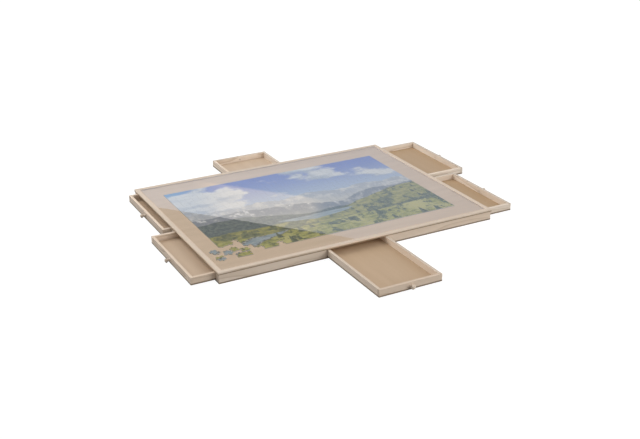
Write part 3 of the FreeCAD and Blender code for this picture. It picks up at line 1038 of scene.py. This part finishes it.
def printed_card(name, turn=0.0, move=(0, 0, 0)):
    """Card with the print on top and grey board on its cut sides."""
    material, place, normal = new_material(name)
    print_place = moved(place, move=move, turn=turn)
    printed = add_node(place.tree, "Group", {"Place": print_place}, "Color", node_tree=picture)
    fibre = noise(place, 1500.0, detail=2.0)
    up = split(normal)[2].step(0.3, 0.8)
    colour = mixed(up, mixed(fibre, *CARD_SIDE), printed)
    linen = noise(place, 900.0, detail=1.0)
    surface(colour, fibre * 0.1 + 0.38, height=linen, relief=0.00003, specular=0.35)
    return material


dress(puzzle, printed_card("printed_card"))
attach(puzzle, "table")
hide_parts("puzzle")
for piece, (column, row, turn, second, _), home in zip(loose, LOOSE_PIECES, HOME_CELLS):
    there = on_board(home[0] + 0.5, home[1] + 0.5)
    shift = there + lying_place(column, row, turn, second).inverted().translation
    dress(piece, printed_card("printed_" + piece.name, turn=-math.radians(turn), move=tuple(shift)))
    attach(piece, "table")
    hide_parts("loose_pieces")
print("pieces with a print of their own:", len(loose))

# %% [markdown]
# ## The clear cover
#
# The cover is a thin loose sheet of clear plastic. A full glass shader would bend light through the
# sheet and leave the board under it dark and noisy. A thin flat sheet hardly bends what is seen
# through it, so it is a mix of two simple shaders: see-through, and a mirror whose share rises as
# the sheet is seen at a flatter angle, which is what a Fresnel node gives. Each face of the sheet
# mirrors on its outer side alone.

# %% Clear plastic
CLEAR_IOR = 1.49
TWO_SIDES = 1.55  # the sheet's lower side mirrors too, a little less


def clear_sheet(name):
    """Clear plastic with a mirror share that follows the angle of view."""
    material, place, _ = new_material(name)
    tree = place.tree
    front = add_node(tree, "NewGeometry", output="Backfacing") * -1.0 + 1.0
    fresnel = add_node(tree, "Fresnel", {"IOR": CLEAR_IOR})
    share = (fresnel * TWO_SIDES).math("MINIMUM", 1.0) * front
    mirror = add_node(tree, "BsdfPrincipled", {
        "Base Color": rgb(1, 1, 1), "Metallic": 1.0, "Roughness": noise(place, 30.0) * 0.006 + 0.004})
    clear = add_node(tree, "BsdfTransparent")
    close(add_node(tree, "MixShader", {0: share, 1: clear, 2: mirror}))
    return material


dress(nodes["clear_cover"], clear_sheet("clear_plastic"))
print("cover dressed in", nodes["clear_cover"].data.materials[0].name)

# %% [markdown]
# ## Floor and light
#
# The table stands in a white studio. The world and the floor are white to the camera and in
# reflections, while their light on the table stays at a plain level, so that colours come out as
# they are written. The floor is partly its own light, which leaves only a faint shadow under the
# table. A soft lamp in front on the right and one behind on the left model the edges. Faces that look
# to the left would still be too light, so a low dark card stands on that side, which a studio calls a
# flag. It takes light from them and from the left drawers' slots, and no view or mirror shows it.

# %% The white room
WORLD_LIGHT = 0.56
FLOOR_GLOW = 0.945  # its own light, to the eye alone
FLOOR_TINT = rgb(0.15, 0.15, 0.15)  # its colour to the eye, which lets a shadow show
FLOOR_BOUNCE = rgb(0.12, 0.12, 0.12)  # its colour to the table
FLOOR_SIZE = 60.0
FLOOR_GAP = 0.0001  # just under the table, so that the two don't flicker


def seen_directly(tree):
    """1 for what the camera sees, also in a mirror or through glass."""
    seen = camera_ray = add_node(tree, "LightPath", output="Is Camera Ray")
    for ray in ("Is Glossy Ray", "Is Transmission Ray"):
        seen = seen.math("MAXIMUM", camera_ray.other_output(ray))
    return seen


def white_world():
    """A world that is white to the eye and plain daylight to the table."""
    world = bpy.data.worlds.new("studio")
    bpy.context.scene.world = world
    world.use_nodes = True
    tree = world.node_tree
    tree.nodes.clear()
    strength = seen_directly(tree) * (1 - WORLD_LIGHT) + WORLD_LIGHT
    close(add_node(tree, "Background", {"Color": rgb(1, 1, 1), "Strength": strength}), "World")


def stage_plane(name, place, turn=0.0, size=1.0):
    """A plane of the studio, and the tree of its empty material. turn is about Y."""
    deselect()
    bpy.ops.mesh.primitive_plane_add(size=size, location=place, rotation=(0, turn, 0))
    plane = bpy.context.object
    plane.name = name
    material, source, _ = new_material(name)
    dress(plane, material)
    return plane, source.tree


def white_floor():
    """A floor that is white to the eye, keeps a faint shadow and throws some light back."""
    _, tree = stage_plane("studio_floor", (0, 0, -FLOOR_GAP), size=FLOOR_SIZE)
    seen = seen_directly(tree)
    glow = add_node(tree, "Emission", {"Strength": seen * FLOOR_GLOW})
    paint = add_node(tree, "BsdfDiffuse", {"Color": mixed(seen, FLOOR_BOUNCE, FLOOR_TINT)})
    close(add_node(tree, "AddShader", {0: glow, 1: paint}))


white_world()
white_floor()
print("floor:", FLOOR_SIZE, "m")

# %% The dark card
FLAG_PLACE = (-1.0, 0.05, 0.15)
FLAG_HEIGHT = 0.30
FLAG_LENGTH = 1.70
FELT = rgb(0.02, 0.02, 0.02)


def unseen_by(thing, *rays):
    """Hide a thing from some kinds of rays."""
    for ray in rays:
        setattr(thing, "visible_" + ray, False)


def dark_flag():
    """An upright dark card that takes light from the left."""
    flag, tree = stage_plane("dark_flag", FLAG_PLACE, turn=math.pi / 2)
    flag.scale = (FLAG_HEIGHT, FLAG_LENGTH, 1)
    close(add_node(tree, "BsdfDiffuse", {"Color": FELT}))
    unseen_by(flag, "camera", "glossy", "transmission", "volume_scatter")


dark_flag()
print("dark card:", FLAG_LENGTH, "x", FLAG_HEIGHT, "m")

# %% The lamps
LAMP_SIZE = 2.2
LAMPS = {  # name: (place, watts)
    "front_lamp": (Vector((1.5, -2.6, 1.2)), 46.0),
    "back_left_lamp": (Vector((-1.8, 1.6, 2.0)), 55.5),
}

for name, (place, watts) in LAMPS.items():
    bpy.ops.object.light_add(type="AREA", location=place)
    lamp = bpy.context.object
    lamp.name = name
    lamp.data.size = LAMP_SIZE
    lamp.data.energy = watts
    lamp.rotation_mode = "QUATERNION"
    lamp.rotation_quaternion = (-place).to_track_quat("-Z", "Y")  # towards the table's middle
    unseen_by(lamp, "glossy")  # so that it doesn't show in the cover
print("lamps:", len(LAMPS))

# %% [markdown]
# ## What the cover mirrors
#
# The clear cover mirrors the far side of the room. Two large cards stand there: a dim warm one as a
# back wall, and before it a bright bluish one, like a window. Its slanting upper edge shows in the
# cover as a sharp line, and a milky streak runs along it like a curtain. To aim the card, two points
# of each line are chosen on the cover, and the mirrored sight lines through them are followed to the
# card. Only reflections see the cards.

# %% Aim the cards
CARD_DISTANCE = 4.0  # from the table's middle
CARD_REACH = 14.0  # half the length of each card
WALL_GAP = 0.1  # how far the back wall stands behind the window
WINDOW_LINE = (Vector((-0.415, 0.151)), Vector((-0.035, -0.294)))  # two points on the cover
STREAK_LINE = (Vector((-0.185, 0.236)), Vector((-0.010, 0.031)))
cover_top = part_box("clear_cover")[1].z
away = Vector((math.sin(LOOK_ROUND), math.cos(LOOK_ROUND), 0))
aside = Vector((away.y, -away.x, 0))
print("cover's top: %.1f mm" % (cover_top * 1000))


def mirrored_place(point):
    """Where the sight line through a point of the cover meets the upright card after the cover."""
    start = Vector((point.x, point.y, cover_top))
    sight = start - Vector(CAMERA_PLACE)
    sight.z = -sight.z
    return start + sight * ((CARD_DISTANCE - start.dot(away)) / sight.dot(away))


def dot(wires, vector):
    """A point's distance along a vector, from its three coordinates."""
    x, y, z = wires
    return x * vector.x + y * vector.y + z * vector.z


def glowing_card(name, foot, half, rise, paint):
    """A card that only mirrors see. foot is the middle of an edge, and half and rise its reach."""
    corners = (foot - half, foot + half, foot + half + rise, foot - half + rise)
    mesh = bpy.data.meshes.new(name)
    mesh.from_pydata(corners, [], [(0, 1, 2, 3)])
    board = bpy.data.objects.new(name, mesh)
    bpy.context.scene.collection.objects.link(board)
    material, place, _ = new_material(name)
    close(add_node(place.tree, "Emission", {"Color": paint(split(place))}))
    dress(board, material)
    unseen_by(board, "camera", "diffuse", "shadow", "transmission", "volume_scatter")


# %% Set up both cards
WINDOW_LEFT = rgb(0.47, 0.62, 0.84)
WINDOW_RIGHT = rgb(0.36, 0.44, 0.59)
STREAK = rgb(1.10, 1.02, 0.96)
STREAK_RISE = (-0.92, -0.60)  # it fades in along the card, from the camera's left
STREAK_FALL = (0.11, -0.08)  # and out again
WALL = rgb(0.16, 0.14, 0.12)

start, end = (mirrored_place(point) for point in WINDOW_LINE)
streak_start, streak_end = (mirrored_place(point) for point in STREAK_LINE)


def below(line_start, line_end):
    """The direction on the card that points down from a line at a right angle."""
    down = (line_end - line_start).cross(away).normalized()
    return down if down.z < 0 else -down


def window_colour(wires):
    """Bluish, brighter on the left, with the milky streak above its line."""
    side = dot(wires, aside)
    plain = mixed(side.step(-2.2, 2.2), WINDOW_LEFT, WINDOW_RIGHT)
    down = below(streak_start, streak_end)
    off_line = dot(wires, down) - streak_start.dot(down)
    streak = off_line.step(0.01, -0.01) * side.step(*STREAK_RISE) * side.step(*STREAK_FALL)
    return mixed(streak, plain, STREAK)


def wall_colour(wires):
    """The same dim tone everywhere, a little darker towards the floor."""
    return mixed(wires[2].step(0.0, 2.0), toned(WALL, 0.8), WALL)


far = (end - start).normalized() * CARD_REACH
glowing_card("window_card", start, far, below(start, end) * CARD_REACH, window_colour)
glowing_card("wall_card", away * (CARD_DISTANCE + WALL_GAP), aside * CARD_REACH,
             Vector((0, 0, CARD_REACH)), wall_colour)
print("window edge from", [round(v, 2) for v in start], "to", [round(v, 2) for v in end])

# %% [markdown]
# ## Closing the scene
#
